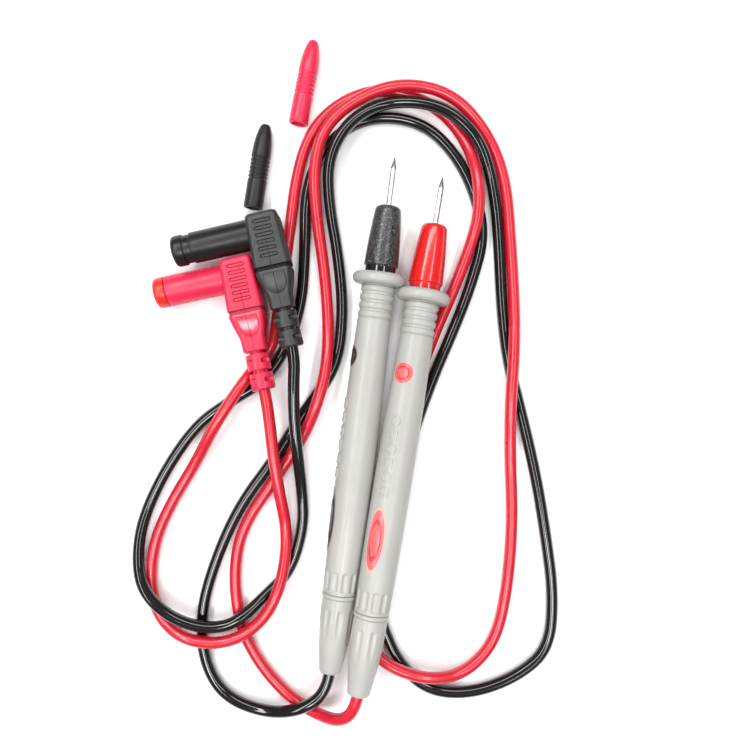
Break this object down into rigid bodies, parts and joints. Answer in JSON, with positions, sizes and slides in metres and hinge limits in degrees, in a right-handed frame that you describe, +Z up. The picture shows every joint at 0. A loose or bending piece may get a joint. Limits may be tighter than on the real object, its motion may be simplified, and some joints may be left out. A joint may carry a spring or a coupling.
{
  "type": "multimeter test leads",
  "caption": "Pair of multimeter test leads: needle probes with finger guards, tail caps and thin cables to right-angle shrouded plugs, with loose tip covers.",
  "frame": {"origin": "on the surface the leads lie on, under the middle of the box round the probes and tip covers", "axes": "+Y along the probes towards the needles, +Z up, +X to the right when looking down"},
  "size_m": [0.1379, 0.2193, 0.0174],
  "materials": {
    "steel": "ground and polished steel",
    "nickel": "nickel plate",
    "brass": "turned",
    "handle_grey": "fine satin, light warm grey",
    "red_nose": "glossy, bright red",
    "black_nose": "spark-eroded texture with a glossy band",
    "red_badge": "translucent coral",
    "black_badge": "satin",
    "red_cable": "satin silicone",
    "black_cable": "glossy PVC",
    "red_plug": "soft satin, overmoulded",
    "black_plug": "fine matt texture, overmoulded",
    "red_shroud": "glossy",
    "black_shroud": "glossy",
    "red_stopper": "soft, slightly orange red",
    "black_stopper": "soft matt",
    "red_rubber": "soft matt rubber",
    "black_rubber": "soft matt rubber"
  },
  "bodies": {
    "leads": {"red_needle": "steel", "red_nose_cone": "red_nose", "red_needle_socket": "brass", "red_handle": "handle_grey", "red_round_badge": "red_badge", "red_oval_badge": "red_badge", "red_inner_lead": "red_cable", "red_crimp_ring": "brass", "red_plug_body": "red_plug", "red_plug_wire": "red_cable", "red_plug_shroud": "red_shroud", "red_banana_pin": "nickel", "red_lantern_spring": "nickel", "red_cable": "red_cable", "black_needle": "steel", "black_nose_cone": "black_nose", "black_needle_socket": "brass", "black_handle": "handle_grey", "black_round_badge": "black_badge", "black_oval_badge": "black_badge", "black_inner_lead": "black_cable", "black_crimp_ring": "brass", "black_plug_body": "black_plug", "black_plug_wire": "black_cable", "black_plug_shroud": "black_shroud", "black_banana_pin": "nickel", "black_lantern_spring": "nickel", "black_cable": "black_cable"},
    "red_tail_seat": {"red_tail_ring": "handle_grey"},
    "red_tail": {"red_tail_cap": "handle_grey"},
    "red_stopper": {"red_plug_stopper": "red_stopper"},
    "red_cover": {"red_tip_cover": "red_rubber"},
    "black_tail_seat": {"black_tail_ring": "handle_grey"},
    "black_tail": {"black_tail_cap": "handle_grey"},
    "black_stopper": {"black_plug_stopper": "black_stopper"},
    "black_cover": {"black_tip_cover": "black_rubber"}
  },
  "joints": [
    {"name": "red_tail_slide", "type": "slide", "parent": "leads", "child": "red_tail_seat", "axis": [-0.1629, -0.9861, 0.0322], "range_m": [0, 0.003]},
    {"name": "red_tail_turn", "type": "hinge", "parent": "red_tail_seat", "child": "red_tail", "pos_m": [0.00473, -0.10441, 0.01259], "axis": [-0.1629, -0.9861, 0.0322], "range_deg": [0, 720]},
    {"name": "red_stopper_pull", "type": "slide", "parent": "leads", "child": "red_stopper", "axis": [-0.9774, -0.2113, 0], "range_m": [0, 0.0214]},
    {"name": "red_cover_lift", "type": "slide", "parent": "leads", "child": "red_cover", "axis": [0, 0, 1], "range_m": [0, 0.04]},
    {"name": "black_tail_slide", "type": "slide", "parent": "leads", "child": "black_tail_seat", "axis": [-0.1255, -0.992, -0.0165], "range_m": [0, 0.003]},
    {"name": "black_tail_turn", "type": "hinge", "parent": "black_tail_seat", "child": "black_tail", "pos_m": [-0.0044, -0.09967, 0.00643], "axis": [-0.1255, -0.992, -0.0165], "range_deg": [0, 720]},
    {"name": "black_stopper_pull", "type": "slide", "parent": "leads", "child": "black_stopper", "axis": [-0.9751, -0.2215, 0], "range_m": [-0.0021, 0.0193]},
    {"name": "black_cover_lift", "type": "slide", "parent": "leads", "child": "black_cover", "axis": [0, 0, 1], "range_m": [0, 0.04]}
  ],
  "couplings": [
    {"joint": "red_tail_turn", "follows": "red_tail_slide", "rad_per_m": 4188.8},
    {"joint": "black_tail_turn", "follows": "black_tail_slide", "rad_per_m": 4188.8}
  ]
}
